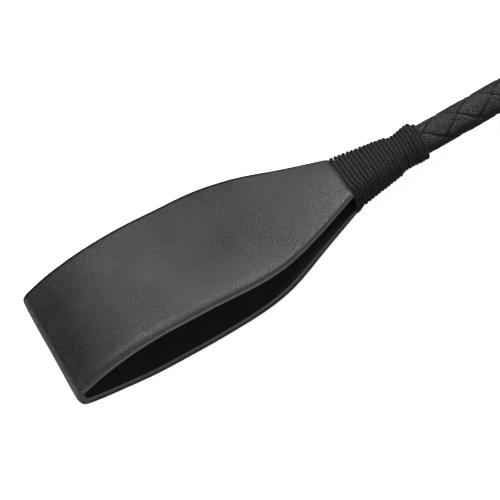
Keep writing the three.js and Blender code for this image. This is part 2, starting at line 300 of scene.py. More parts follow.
def edge_profile(columns):
    """The strap's cut section, once round: side, distance in from the side, depth and zone of each point."""
    angles = np.linspace(0, math.pi / 2, 5)
    turn = [(SECTION_CORNER * (1 - math.sin(a)), SECTION_CORNER * (1 - math.cos(a))) for a in angles]
    cut = [(0.0, 0.8), (0.0, 1.3), (0.03, TOP_PLY - 0.2), (0.2, TOP_PLY - 0.04)]
    lip = [
        (0.2, TOP_PLY + 0.03), (-0.04, TOP_PLY + 0.09), (-0.1, TOP_PLY + 0.2), (-0.11, TOP_PLY + 0.38),
        (-0.06, TOP_PLY + 0.56), (0.03, TOP_PLY + 0.68), (0.15, STRAP_THICKNESS),
    ]
    side = [(distance, depth, LEATHER_ZONE) for distance, depth in turn]
    side += [(distance, depth, CUT_ZONE) for distance, depth in cut]
    side += [(distance, depth, LIP_ZONE) for distance, depth in lip]
    across = np.sin(np.linspace(-1, 1, columns) * math.pi / 2)[1:-1]
    profile = [(share, SECTION_CORNER, 0.0, LEATHER_ZONE) for share in across]
    profile += [(1, *point) for point in side]
    profile += [(share, 0.15, STRAP_THICKNESS, LINING_ZONE) for share in across[::-1]]
    profile += [(-1, *point) for point in side[::-1]]
    return profile


KEEPER_SECTION = edge_profile(41)
SECTION_POINTS = [(side * (KEEPER_WIDTH / 2 - inwards), depth) for side, inwards, depth, _ in KEEPER_SECTION]
# The section's length round from the leather's near edge and back to it, in metres.
SECTION_ROUND = lengths(SECTION_POINTS)[-1] * MM


# ---- materials -----------------------------------------------------------------------------------


class Nodes:
    """Short names for the shader nodes that the materials below share."""

    def __init__(self, name):
        self.material = bpy.data.materials.new(name)
        self.material.use_nodes = True
        self.tree = self.material.node_tree
        self.shader = self.tree.nodes["Principled BSDF"]

    def add(self, kind, **settings):
        node = self.tree.nodes.new(kind)
        for key, value in settings.items():
            if key in node.inputs:
                node.inputs[key].default_value = value
            else:
                setattr(node, key, value)
        return node

    def link(self, source, target):
        self.tree.links.new(source, target)

    def coordinates(self, scale, stretch=(1, 1, 1)):
        """True lengths on the piece's surface, in units of 1/scale metres."""
        uv = self.add("ShaderNodeUVMap", uv_map="Grain")
        mapping = self.add("ShaderNodeMapping")
        mapping.inputs["Scale"].default_value = [scale * s for s in stretch]
        self.link(uv.outputs["UV"], mapping.inputs["Vector"])
        return mapping.outputs["Vector"]

    def noise(self, vector, scale=1.0, detail=3.0, roughness=0.55):
        node = self.add("ShaderNodeTexNoise")
        node.inputs["Scale"].default_value = scale
        node.inputs["Detail"].default_value = detail
        node.inputs["Roughness"].default_value = roughness
        self.link(vector, node.inputs["Vector"])
        return node.outputs["Fac"]

    def cells(self, vector):
        """Distance to the nearest wall between random cells of about unit size."""
        node = self.add("ShaderNodeTexVoronoi", feature="DISTANCE_TO_EDGE")
        node.inputs["Scale"].default_value = 1.0
        self.link(vector, node.inputs["Vector"])
        return node.outputs["Distance"]

    def range(self, value, low, high, out_low, out_high):
        """Turns low to high into out_low to out_high, smoothly, and holds them beyond."""
        node = self.add("ShaderNodeMapRange", interpolation_type="SMOOTHSTEP")
        for key, v in (("From Min", low), ("From Max", high), ("To Min", out_low), ("To Max", out_high)):
            node.inputs[key].default_value = v
        self.link(value, node.inputs["Value"])
        return node.outputs["Result"]

    def math(self, operation, a, b):
        node = self.add("ShaderNodeMath", operation=operation)
        for socket, value in zip(node.inputs, (a, b)):
            if isinstance(value, (int, float)):
                socket.default_value = value
            else:
                self.link(value, socket)
        return node.outputs["Value"]

    def mix(self, factor, a, b):
        node = self.add("ShaderNodeMix", data_type="RGBA")
        node.inputs["A"].default_value = (*a, 1)
        node.inputs["B"].default_value = (*b, 1)
        self.link(factor, node.inputs["Factor"])
        return node.outputs["Result"]

    def flat(self):
        """Where a point lies on the sheet "Flat": along the piece and across or round it, in metres."""
        uv = self.add("ShaderNodeUVMap", uv_map="Flat")
        split = self.add("ShaderNodeSeparateXYZ")
        self.link(uv.outputs["UV"], split.inputs["Vector"])
        return split.outputs["X"], split.outputs["Y"]

    def bump(self, height, distance_mm, normal=None):
        node = self.add("ShaderNodeBump")
        node.inputs["Distance"].default_value = distance_mm * MM
        node.inputs["Strength"].default_value = 1.0
        self.link(height, node.inputs["Height"])
        if normal is not None:
            self.link(normal, node.inputs["Normal"])
        return node.outputs["Normal"]


def painted_light_places(n):
    """Painted light and shade on the keeper's leather, by place: above 0 a painted highlight, below 0
    painted shade. Sets the shine too.
    """
    along, across = n.flat()

    def product(*factors):
        result = factors[0]
        for factor in factors[1:]:
            result = n.math("MULTIPLY", result, factor)
        return result

    def between(value, low, high, out_low, out_high):
        return n.range(value, low * MM, high * MM, out_low, out_high)

    # Painted highlight along the near edge, where it rolls over towards the light, dropping to painted shade
    # right at the edge.
    near_edge_highlight = product(
        between(across, 0, 4.6, 3.0, 0),
        between(across, 0, 1.7, -0.25, 1),
        between(along, 60, 105, 0.55, 1),
        between(along, 106, 122, 1, 0.15),
    )
    # Painted light, a little over the near half of the face.
    near_side_light = between(across, 0, 16, 0.22, 0)
    # Painted shade over the belly.
    belly_shade = product(
        between(along, 34, 54, 0, -0.7), between(along, 60, 90, 1, 0), between(across, 5, 20, 0, 1)
    )
    # Painted highlight on the neck, next to the binding.
    neck_highlight = product(
        between(along, 15.5, 19, 0, 1), between(along, 20, 36, 1.9, 0), between(across, 8, 38, 1, 0.2)
    )
    # Painted shade before the fold.
    near_fold_shade = product(between(along, 104, 116, 0, -0.5), between(across, 5, 20, 1.4, 1))
    # Painted highlight along the fold's crest, where it catches the light from the left.
    crest_highlight = between(n.math("ABSOLUTE", n.math("SUBTRACT", along, FOLD_ALONG), 0.0), 0, 3.4, 11, 0)
    painted_light = near_edge_highlight
    for place in (near_side_light, belly_shade, neck_highlight, near_fold_shade, crest_highlight):
        painted_light = n.math("ADD", painted_light, place)
    # Painted shade: the far edge and the whole lower leaf are painted near black, with less shine.
    lower_leaf = n.range(along, FOLD_ALONG, FOLD_ALONG + 6 * MM, 0, 1)
    far_edge = product(
        between(across, KEEPER_WIDTH - 1.8, KEEPER_WIDTH - 1.4, 0, 1),
        between(across, KEEPER_WIDTH + 5, KEEPER_WIDTH + 6, 1, 0),
    )
    painted_dark = n.math("MAXIMUM", lower_leaf, far_edge)
    n.link(n.range(painted_dark, 0, 1, 0.45, 0.12), n.shader.inputs["Specular IOR Level"])
    return n.math("SUBTRACT", painted_light, n.math("MULTIPLY", painted_dark, 1.6))


def leather(name, dark, light, roughness, grain_mm=0.75, grain_depth=0.07, crease_depth=0.06, specular=0.5,
            painted_light=False):
    """Finished leather: fine pores and pebbles, longer creases, patches a little lighter and duller. Its
    last flag adds painted highlights and painted shade by place.
    """
    n = Nodes(name)
    n.shader.inputs["Specular IOR Level"].default_value = specular
    fine = n.coordinates(1 / (grain_mm * MM))
    patches = n.coordinates(1 / (9 * MM))
    wobble = n.noise(fine, 0.6, 2)
    warped = n.add("ShaderNodeVectorMath", operation="ADD")
    n.link(fine, warped.inputs[0])
    n.link(wobble, warped.inputs[1])
    pebbles = n.range(n.cells(warped.outputs["Vector"]), 0.0, 0.22, 0, 1)
    creases = n.noise(patches, 1.6, 7, 0.62)
    tone = n.noise(patches, 0.7, 5, 0.6)
    shade = n.math("MULTIPLY", n.range(tone, 0.1, 0.9, 0.1, 1), n.range(pebbles, 0, 1, 0.5, 1))
    # Painted highlights and painted shade by place, added to the leather's own tone.
    if painted_light:
        places = painted_light_places(n)
        shade = n.math("MAXIMUM", n.math("ADD", shade, places), -0.6)
    colour = n.mix(shade, dark, light)
    colour.node.clamp_factor = False
    n.link(colour, n.shader.inputs["Base Color"])
    n.link(n.range(tone, 0.3, 0.7, roughness - 0.05, roughness + 0.06), n.shader.inputs["Roughness"])
    # The grain stands out in some places and is pressed flatter in others.
    pressed = n.noise(n.coordinates(1 / (34 * MM)), 1.0, 2)
    raised = n.math("MULTIPLY", pebbles, n.range(pressed, 0.35, 0.65, 0.7, 1.3))
    # The grain is raised more where highlights are painted.
    if painted_light:
        raised = n.math("MULTIPLY", raised, n.range(places, 0.1, 1.6, 1.0, 2.2))
    coarse = n.bump(creases, crease_depth)
    n.link(n.bump(raised, grain_depth, coarse), n.shader.inputs["Normal"])
    return n.material


def edge_paint(name, dark, light, roughness):
    """Thick paint on a cut leather edge, a little uneven along it, with painted shade on the lower leaf."""
    n = Nodes(name)
    vector = n.coordinates(1 / (1.4 * MM), (0.5, 1, 1))
    uneven = n.noise(vector, 1.0, 4)
    along, around = n.flat()
    # Painted shade: the lower leaf's edge, under the upper leaf, is painted darker than the upper leaf's.
    painted_leaf_light = n.range(along, FOLD_ALONG, FOLD_ALONG + 8 * MM, 1.0, 0.5)
    # Its outer ply shows as a black line: partly the ply's own black grain edge, partly painted shade on the
    # strap's underside.
    line = n.range(around, SECTION_ROUND - 1.5 * MM, SECTION_ROUND - 1.15 * MM, 0, 1)
    line = n.math("MULTIPLY", line, n.range(along, FOLD_ALONG, FOLD_ALONG + 8 * MM, 0, 1))
    tone = n.math("SUBTRACT", n.math("ADD", uneven, painted_leaf_light), n.math("ADD", line, 1.0))
    colour = n.mix(n.math("MAXIMUM", tone, -0.33), dark, light)
    colour.node.clamp_factor = False
    n.link(colour, n.shader.inputs["Base Color"])
    n.link(n.range(uneven, 0.3, 0.7, roughness - 0.05, roughness + 0.06), n.shader.inputs["Roughness"])
    n.link(n.bump(uneven, 0.05), n.shader.inputs["Normal"])
    return n.material


def suede(name):
    """The strap's split-leather lining: matt, with short fibres."""
    n = Nodes(name)
    fibres = n.noise(n.coordinates(1 / (0.35 * MM), (0.5, 1, 1)), 1.0, 6, 0.7)
    patches = n.noise(n.coordinates(1 / (7 * MM)), 1.0, 3)
    n.link(n.mix(n.math("MULTIPLY", fibres, patches), (0.006, 0.006, 0.006), (0.02, 0.02, 0.021)),
           n.shader.inputs["Base Color"])
    n.shader.inputs["Roughness"].default_value = 0.95
    n.shader.inputs["Specular IOR Level"].default_value = 0.25
    n.link(n.bump(fibres, 0.12), n.shader.inputs["Normal"])
    return n.material


def braided_cord(name):
    """A hard braided cord: two sets of slanting yarns, crossing."""
    n = Nodes(name)
    along, around = n.flat()
    along = n.math("MULTIPLY", along, math.pi / (YARN_LENGTH * MM))
    around = n.math("MULTIPLY", around, math.pi / (YARN_WIDTH * MM))
    weave = n.math(
        "MULTIPLY",
        n.math("SINE", n.math("ADD", along, around), 0.0),
        n.math("SINE", n.math("SUBTRACT", along, around), 0.0),
    )
    fuzz = n.noise(n.coordinates(1 / (0.25 * MM)), 1.0, 4, 0.7)
    height = n.math("ADD", n.range(weave, -0.8, 0.8, 0, 1), n.math("MULTIPLY", fuzz, 1.3))
    # The yarns' colour follows their height: painted highlights on the raised yarns and painted shade, near
    # black, in the low places between them.
    colour = n.mix(n.range(height, 1.24, 1.68, 0, 1), (0.0002, 0.0002, 0.0003), (0.08, 0.08, 0.082))
    n.link(colour, n.shader.inputs["Base Color"])
    n.shader.inputs["Roughness"].default_value = 0.6
    n.shader.inputs["Specular IOR Level"].default_value = 0.12
    n.link(n.bump(height, 0.2), n.shader.inputs["Normal"])
    return n.material


def moulded(name, colour, roughness, speckle_mm=0.5):
    """Hard plastic, rubber or coated rod: a faint flow mottle and orange peel."""
    n = Nodes(name)
    coords = n.add("ShaderNodeTexCoord")
    mottle = n.noise(coords.outputs["Object"], 1 / (speckle_mm * MM * 8), 4)
    peel = n.noise(coords.outputs["Object"], 1 / (speckle_mm * MM), 2)
    lighter = tuple(c * 1.5 + 0.004 for c in colour)
    n.link(n.mix(mottle, colour, lighter), n.shader.inputs["Base Color"])
    n.link(n.range(mottle, 0.3, 0.7, roughness - 0.04, roughness + 0.06), n.shader.inputs["Roughness"])
    n.link(n.bump(peel, 0.01), n.shader.inputs["Normal"])
    return n.material


def brushed_metal(name):
    n = Nodes(name)
    coords = n.add("ShaderNodeTexCoord")
    scratches = n.add("ShaderNodeMapping")
    scratches.inputs["Scale"].default_value = (9000, 900, 9000)
    n.link(coords.outputs["Object"], scratches.inputs["Vector"])
    lines = n.noise(scratches.outputs["Vector"], 1.0, 3)
    n.link(n.mix(lines, (0.36, 0.36, 0.37), (0.5, 0.5, 0.51)), n.shader.inputs["Base Color"])
    n.shader.inputs["Metallic"].default_value = 1.0
    n.link(n.range(lines, 0.3, 0.7, 0.24, 0.38), n.shader.inputs["Roughness"])
    n.link(n.bump(lines, 0.004), n.shader.inputs["Normal"])
    return n.material


def tape_material(name):
    n = Nodes(name)
    coords = n.add("ShaderNodeTexCoord")
    weave = n.noise(coords.outputs["Object"], 2500, 4)
    n.link(n.mix(weave, (0.1, 0.09, 0.08), (0.3, 0.28, 0.24)), n.shader.inputs["Base Color"])
    n.shader.inputs["Roughness"].default_value = 0.95
    n.link(n.bump(weave, 0.08), n.shader.inputs["Normal"])
    return n.material


# The keeper's leather carries painted highlights and painted shade by place.
KEEPER_LEATHER = leather(
    "keeper_leather", (0.013, 0.013, 0.0135), (0.026, 0.026, 0.027), 0.42, 0.75, 0.035, 0.06, painted_light=True
)
LINING = suede("lining_suede")
CUT_EDGE = edge_paint("cut_edge", (0.026, 0.026, 0.027), (0.092, 0.092, 0.094), 0.55)
LIP_EDGE = edge_paint("lip_edge", (0.03, 0.03, 0.031), (0.094, 0.094, 0.096), 0.4)
PLAIT_LEATHER = leather(
    "plait_leather", (0.004, 0.004, 0.0045), (0.009, 0.009, 0.0095), 0.52, 0.8, 0.16, 0.16, specular=0.35
)
GRIP_LEATHER = leather("grip_leather", (0.009, 0.009, 0.0095), (0.019, 0.019, 0.02), 0.5, 1.0, 0.09, 0.05)
KNOT_LEATHER = leather("knot_leather", (0.008, 0.008, 0.0085), (0.016, 0.016, 0.017), 0.45, 0.5, 0.03, 0.04)
WRIST_LEATHER = leather("wrist_leather", (0.01, 0.01, 0.0105), (0.02, 0.02, 0.021), 0.48)
CORD = braided_cord("braided_cord")
CAP_PLASTIC = moulded("cap_plastic", (0.012, 0.012, 0.013), 0.28)
ROD = moulded("black_rod", (0.015, 0.015, 0.015), 0.35)
RUBBER = moulded("grip_rubber", (0.02, 0.02, 0.02), 0.8)
STEEL = brushed_metal("steel")
TAPE = tape_material("bolster_tape")


# ---- keeper --------------------------------------------------------------------------------------


def keeper_width(x):
    """The strap's width at x: straight, rounded into the shoulders, and narrowing on under the binding."""
    straight = KEEPER_WIDTH - (x - SHOULDER_X) * (KEEPER_WIDTH - NECK_WIDTH) / (NECK_X - SHOULDER_X)
    rounded = -SHOULDER_ROUNDING * np.log(
        np.exp(-KEEPER_WIDTH / SHOULDER_ROUNDING) + np.exp(-straight / SHOULDER_ROUNDING)
    )
    tail = NECK_WIDTH - (x - NECK_X) * 0.36
    return np.where(x < NECK_X, rounded, np.maximum(tail, 9))


def bound_section(x):
    """Half width, half height, middle height and squareness of the bound tails at x."""
    t = np.clip((x - NECK_X) / (BINDING_STEP_X - NECK_X), 0, 1)
    return 8.3 - 2.5 * t, 5.4 + 0.4 * t, 0.1 * (1 - t), 5 - 3 * t**0.7


def make_keeper():
    """The whole strap, swept from the upper leaf's bound end round the fold to the lower leaf's."""
    fold = lengths(KEEPER_LINE)[-1] / 2
    share = np.linspace(-1, 1, 361)
    stations = fold + fold * (0.35 * share + 0.65 * share * np.abs(share) ** 1.2)
    outer = resample(KEEPER_LINE, stations)
    inner = inset(outer, STRAP_THICKNESS)
    half = keeper_width(outer[:, 0]) / 2
    upper = np.where(stations < fold, 1.0, -1.0)
    near_roll = NEAR_ROLL * ease(fold - stations, 0, 9)
    squeezed = 1 - NECK_SQUEEZE * ease(outer[:, 0], 80, 106)
    half_width, half_height, _, power = bound_section(outer[:, 0])
    # The strap takes the binding's section where the binding holds it.
    bound = ease(outer[:, 0], NECK_X - 0.8, NECK_X + 1.6)
    rings = np.zeros((len(stations), len(KEEPER_SECTION), 3))
    for k, (share_across, distance, depth, _) in enumerate(KEEPER_SECTION):
        y = share_across * (half - distance)
        near_rolled = near_roll * np.exp(-(half + y) / ROLL_REACH)
        far_rolled = FAR_ROLL * np.exp(-(half - y) / ROLL_REACH)
        t = (depth + near_rolled + far_rolled) / STRAP_THICKNESS * squeezed
        point = outer + (inner - outer) * t[:, None]
        point[:, 1] += upper * NECK_CROWN * ease(outer[:, 0], 86, 108) * (1 - (y / half) ** 2)
        # The waves are shifted inwards, so that the strap stays within its outline.
        swell = SWELL * (ripples(stations, y + 60 * upper, 26, 3) - 1.6)
        normal = (outer - inner) / np.maximum(np.linalg.norm(outer - inner, axis=1), 1e-6)[:, None]
        calm = np.clip((NECK_X - 6 - outer[:, 0]) / 20, 0, 1)
        point = point + normal * (swell * calm)[:, None]
        reach = np.clip(np.abs(y) / half_width, 0, 0.995)
        lid = half_height * (1 - reach**power) ** (1 / power)
        fall = half_height - lid
        z = point[:, 1] - upper * bound * fall * (1 - 0.5 * t)
        rings[:, k] = np.stack([point[:, 0], y, z], 1)
    zones = [zone for *_, zone in KEEPER_SECTION]
    obj = swept("keeper_strap", rings, [KEEPER_LEATHER, CUT_EDGE, LINING, LIP_EDGE], zones)
    return point_outwards(obj)


# ---- binding -------------------------------------------------------------------------------------


def bound_point(x, angle, outwards):
    """y and z of a point that lies outwards of the bound tails at x, seen at angle from their middle."""
    half_width, half_height, middle, power = bound_section(x)
    c, s = np.cos(angle), np.sin(angle)
    y = (half_width + outwards) * np.sign(c) * np.abs(c) ** (2 / power)
    z = (half_height + outwards) * np.sign(s) * np.abs(s) ** (2 / power) + middle
    return y, z


def smooth_noise(values, count):
    """Random numbers for each turn, joined smoothly over all the steps."""
    knots = rng.uniform(-1, 1, count + 2)
    turns = np.clip(values, 0, count)
    low = np.floor(turns).astype(int)
    t = turns - low
    t = t * t * (3 - 2 * t)
    return knots[low] * (1 - t) + knots[np.minimum(low + 1, count + 1)] * t


def cord_tube(name, route):
    """The braided cord along a route, pressed flatter where it meets the strap and its neighbours."""
    outward = route * [0, 1, 1]
    outward /= np.linalg.norm(outward, axis=1)[:, None]
    t = tangents(route)
    side = outward - t * (outward * t).sum(1)[:, None]
    side /= np.linalg.norm(side, axis=1)[:, None]
    other = np.cross(t, side)
    angles = np.linspace(0, 2 * math.pi, 16, endpoint=False)
    height = np.cos(angles) * CORD_HEIGHT / 2
    width = np.sign(np.sin(angles)) * np.abs(np.sin(angles)) ** 0.85 * CORD_WIDTH / 2
    rings = route[:, None] + side[:, None] * height[None, :, None] + other[:, None] * width[None, :, None]
    return point_outwards(swept(name, rings, [CORD]))


def make_binding():
    total_turns = TAIL_TURNS + SHAFT_TURNS
    turns = np.linspace(0, total_turns, int(total_turns * 56))
    angle = -turns * 2 * math.pi + BINDING_START_ANGLE
    x = BINDING_START_X + turns * CORD_PITCH + 0.09 * smooth_noise(turns, int(total_turns) + 1)
    # The first turns lean back on the far side and under the near edge, where the leather slopes away.
    x = x - 1.2 * np.clip(1 - turns / 9, 0, 1) * ease(np.cos(angle - math.radians(60)), -0.2, 1)
    x = x - 1.1 * np.clip(1 - turns / 3, 0, 1) * ease(np.cos(angle - math.radians(222)), 0.3, 1)
    outwards = CORD_HEIGHT / 2 + 0.06 * smooth_noise(turns * 1.3, int(total_turns * 1.3) + 1)
    y_tail, z_tail = bound_point(x, angle, outwards)
    # The last turns lie over the cord's own buried tail.
    near_tail = np.exp(-((np.mod(angle - BURIED_TAIL_ANGLE + math.pi, 2 * math.pi) - math.pi) / 0.9) ** 2)
    lifted = ease(x, BINDING_STEP_X + 1.5, BINDING_END_X - 1.5) * (0.3 + 0.75 * near_tail)
    radius = SHAFT_RADIUS + outwards - 0.08 + lifted
    down = ease(x, BINDING_STEP_X - CORD_PITCH * 0.45, BINDING_STEP_X + CORD_PITCH * 0.45)
    y = y_tail * (1 - down) + radius * np.cos(angle) * down
    z = z_tail * (1 - down) + radius * np.sin(angle) * down
    route = np.stack([x, y, z], 1)
    route = resample(route, np.arange(0, lengths(route)[-1], 0.75))
    # Each end is tucked under its neighbour.
    along = lengths(route)
    tuck = np.clip(1 - along / 5, 0, 1) ** 2 + np.clip(1 - (along[-1] - along) / 5, 0, 1) ** 2
    outward = route * [0, 1, 1]
    outward /= np.linalg.norm(outward, axis=1)[:, None]
    return cord_tube("binding_cord_turns", route - outward * (tuck * 1.0)[:, None])


def make_buried_tail():
    """The cord's end, drawn back under the last turns and cut off where they stop."""
    x = np.linspace(BINDING_STEP_X + 2, BINDING_END_X + 0.3, 24)
    radius = SHAFT_RADIUS + CORD_HEIGHT / 2 - 0.1
    angle = BURIED_TAIL_ANGLE + 0.05 * np.sin((x - x[0]) * 0.7)
    return cord_tube("binding_cord_tail", np.stack([x, radius * np.cos(angle), radius * np.sin(angle)], 1))


def make_start_end():
    """The cord's first end, laid along the lower leaf's near edge and sticking out of the turns."""
    points = [
        (114.5, -7.9, -3.4), (112.9, -8.5, -3.5), (111.5, -9.3, -3.6), (110.5, -9.7, -3.7),
        (109.7, -9.7, -3.8),
    ]
    return cord_tube("binding_cord_start", spline(points, 8))


# ---- plait ---------------------------------------------------------------------------------------

# A strand's section, once round: share of the half width, and depth below its highest line.
STRAND_TOP = [
    (-1, 0.34), (-0.965, 0.17), (-0.9, 0.08), (-0.75, 0.03), (-0.45, 0.005), (0, 0), (0.45, 0.005),
    (0.75, 0.03), (0.9, 0.08), (0.965, 0.17), (1, 0.34),
]
STRAND_UNDER = [
    (0.97, 0.6), (0.7, 0.85), (0.3, STRAND_THICKNESS), (-0.3, STRAND_THICKNESS), (-0.7, 0.85), (-0.97, 0.6),
]


def make_strand(way, index):
    """One strand. way is 1 or -1 for its winding. The weave's two phases u and v place it on the shaft."""
    cell = PLAIT_PITCH / 6
    first = (PLAIT_START_X - PLAIT_CROSSING_X) / cell
    last = (PLAIT_END_X - PLAIT_CROSSING_X) / cell
    steps = int((last - first) * 14)
    centre = math.pi * index
    along = np.linspace(first, last, steps) * math.pi
    if way > 0:
        running = along + centre + math.pi
        wave = np.cos(running) * math.cos(centre)
    else:
        running = centre - along - math.pi
        wave = -np.cos(running) * math.cos(centre)
    dive = np.clip(0.5 - wave / 0.9, 0, 1)
    dive = dive * dive * (3 - 2 * dive)
    section = STRAND_TOP + STRAND_UNDER
    rings = np.zeros((steps, len(section), 3))
    for k, (q, depth) in enumerate(section):
        across = centre + q * 0.975 * math.pi / 2
        u, v = (running, across) if way > 0 else (across, running)
        angle = PLAIT_CROSSING_ANGLE + (u + v) / 3
        x = PLAIT_CROSSING_X + (u - v - math.pi) * PLAIT_PITCH / (6 * math.pi)
        uneven = 0.035 * ripples(x, angle * 5, 9, 11 + index + 5 * way)
        radius = SHAFT_RADIUS - dive * STRAND_THICKNESS - depth + uneven
        rings[:, k] = np.stack([x, radius * np.cos(angle), radius * np.sin(angle)], 1)
    name = f"plait_{'right' if way > 0 else 'left'}_{index + 1}"
    return point_outwards(swept(name, rings, [PLAIT_LEATHER]))


# ---- knots ---------------------------------------------------------------------------------------


def make_knot(name, middle, half_width, base_radius, bights=5, leads=3):
    """A collar knot: one lace led round three times, doubled, weaving over and under itself."""
    lace_width, lace_thickness, spacing = 2.35, 0.95, 2.3
    swing = half_width - spacing / 2 - lace_width / 2
    steps = 540
    turn = np.linspace(0, 2 * math.pi * leads, steps, endpoint=False)
    wave = bights * turn / leads
    x = middle + swing * np.cos(wave)
    lift = 0.5 + 0.5 * np.clip(1.5 * np.sin(2 * wave), -1, 1)
    radius = base_radius(x) + lace_thickness * (0.5 + lift)
    route = np.stack([x, radius * np.cos(turn), radius * np.sin(turn)], 1)
    ahead = np.roll(route, -1, axis=0) - np.roll(route, 1, axis=0)
    ahead /= np.linalg.norm(ahead, axis=1)[:, None]
    outward = route * [0, 1, 1]
    outward /= np.linalg.norm(outward, axis=1)[:, None]
    side = np.cross(outward, ahead)
    side /= np.linalg.norm(side, axis=1)[:, None]
    up = np.cross(ahead, side)
    section = []
    for a in np.linspace(0, 2 * math.pi, 16, endpoint=False):
        c, s = math.cos(a), math.sin(a)
        width = abs(c) ** 0.5 * np.sign(c) * lace_width / 2
        height = abs(s) ** 0.8 * np.sign(s) * lace_thickness / 2
        section.append((width, height))
    pieces = []
    for number, offset in enumerate((-spacing / 2, spacing / 2)):
        centre = route + side * offset
        rings = np.stack([centre + side * w + up * h for w, h in section], 1)
        pieces.append(swept(f"{name}_{number + 1}", rings, [KNOT_LEATHER], closed=True))
    return [point_outwards(p) for p in pieces]


# ---- grip ----------------------------------------------------------------------------------------


def make_grip_wrap():
    """The leather strip wound edge to edge over the grip's core."""
    steps = int(GRIP_WRAP_TURNS * 90)
    turns = np.linspace(0, GRIP_WRAP_TURNS, steps)
    half = (GRIP_WRAP_PITCH - 0.12) / 2
    thickness = GRIP_RADIUS - GRIP_CORE_RADIUS - 0.1
    section = []
    for q in np.linspace(-1, 1, 17):
        edge = half * (1 - abs(q))
        fall = 0.5 * math.exp(-edge / 0.35)
        section.append((q * half, -fall))
    section += [(half * 0.99, -thickness * 0.9), (0, -thickness), (-half * 0.99, -thickness * 0.9)]
    rings = np.zeros((steps, len(section), 3))
    angle = 2 * math.pi * turns
    for k, (across, height) in enumerate(section):
        x = GRIP_WRAP_START_X + turns * GRIP_WRAP_PITCH + across
        radius = GRIP_RADIUS + height + 0.04 * ripples(x, angle * 7, 14, 21)
        rings[:, k] = np.stack([x, radius * np.cos(angle), radius * np.sin(angle)], 1)
    return point_outwards(swept("grip_strip", rings, [GRIP_LEATHER]))


# ---- butt cap ------------------------------------------------------------------------------------


def carve(obj, tool):
    """Cuts the tool out of the object and throws the tool away."""
    modifier = obj.modifiers.new("carve", "BOOLEAN")
    modifier.operation = "DIFFERENCE"
    modifier.solver = "EXACT"
    modifier.object = tool
    depsgraph = bpy.context.evaluated_depsgraph_get()
    carved = bpy.data.meshes.new_from_object(obj.evaluated_get(depsgraph))
    obj.modifiers.clear()
    obj.data = carved
    bpy.data.objects.remove(tool)


def rounded_box(name, xs, ys, zs, bevel):
    corners = [(x, y, z) for x in xs for y in ys for z in zs]
    faces = [(0, 1, 3, 2), (4, 6, 7, 5), (0, 4, 5, 1), (2, 3, 7, 6), (0, 2, 6, 4), (1, 5, 7, 3)]
    obj = mesh_object(name, corners, faces, [CAP_PLASTIC], smooth=False)
    modifier = obj.modifiers.new("bevel", "BEVEL")
    modifier.width = bevel * MM
    modifier.segments = 3
    depsgraph = bpy.context.evaluated_depsgraph_get()
    obj.data = bpy.data.meshes.new_from_object(obj.evaluated_get(depsgraph))
    obj.modifiers.clear()
    return obj


def arc(centre, radius, start, end, count):
    """Points on an arc between two angles in degrees."""
    angles = np.radians(np.linspace(start, end, count))
    return [(centre[0] + radius * math.cos(a), centre[1] + radius * math.sin(a)) for a in angles]


def make_cap():
    shoulder = CAP_RADIUS - 2.6
    profile = [(CAP_START_X, 0), (CAP_START_X, CAP_RADIUS - 1.2)]
    profile += arc((CAP_START_X + 1, CAP_RADIUS - 1.2), 1.0, 180, 100, 6)
    profile += [
        (CAP_START_X + 2.2, CAP_RADIUS - 0.25), (CAP_START_X + 2.6, CAP_RADIUS - 0.5),
        (CAP_START_X + 3.2, CAP_RADIUS - 0.5), (CAP_START_X + 3.6, CAP_RADIUS - 0.15),
    ]
    profile += arc((CAP_END_X - 3.0, shoulder - 0.4), 3.0, 90, 0, 12)
    profile += [(CAP_END_X, 0)]
    cap = turned("butt_cap_shell", profile, CAP_PLASTIC, 128)
    carve(cap, rounded_box("slot", (SLOT_START_X, CAP_END_X + 5), (-2.5, 2.5), (-4.8, 4.8), 0.5))
    bore_radius = PIN_RADIUS + 0.2
    bore = [(-14, 0), (-14, bore_radius), (14, bore_radius), (14, 0)]
    carve(cap, turned("pin_bore", bore, CAP_PLASTIC, 32, "Y", (PIN_X, 0, 0)))
    rod_bore_end = SLOT_START_X - 0.5
    rod = [(CAP_START_X - 3, 0), (CAP_START_X - 3, 2.25), (rod_bore_end, 2.25), (rod_bore_end, 0)]
    carve(cap, turned("rod_bore", rod, CAP_PLASTIC, 48))
    for polygon in cap.data.polygons:
        polygon.use_smooth = True
    cap.data.set_sharp_from_angle(angle=math.radians(32))
    return cap


def make_pin():
    reach = CAP_RADIUS - 0.35
    end = [(-reach, 0), (-reach + 0.06, 0.6), (-reach + 0.25, 0.92), (-reach + 0.5, PIN_RADIUS)]
    profile = end + [(-x, radius) for x, radius in end[::-1]]
    return turned("butt_cross_pin", profile, STEEL, 48, "Y", (PIN_X, 0, 0))


# ---- wrist strap ---------------------------------------------------------------------------------


def droop(points):
    """Tilts what lies beyond the strap's start down to the ground, as the CAD model does."""
    points = np.asarray(points, float).copy()
    x = np.maximum(points[..., 0] - WRIST_START_X, 0)
    points[..., 2] -= x * math.sin(WRIST_DROOP)
    points[..., 0] -= x * (1 - math.cos(WRIST_DROOP))
    return points


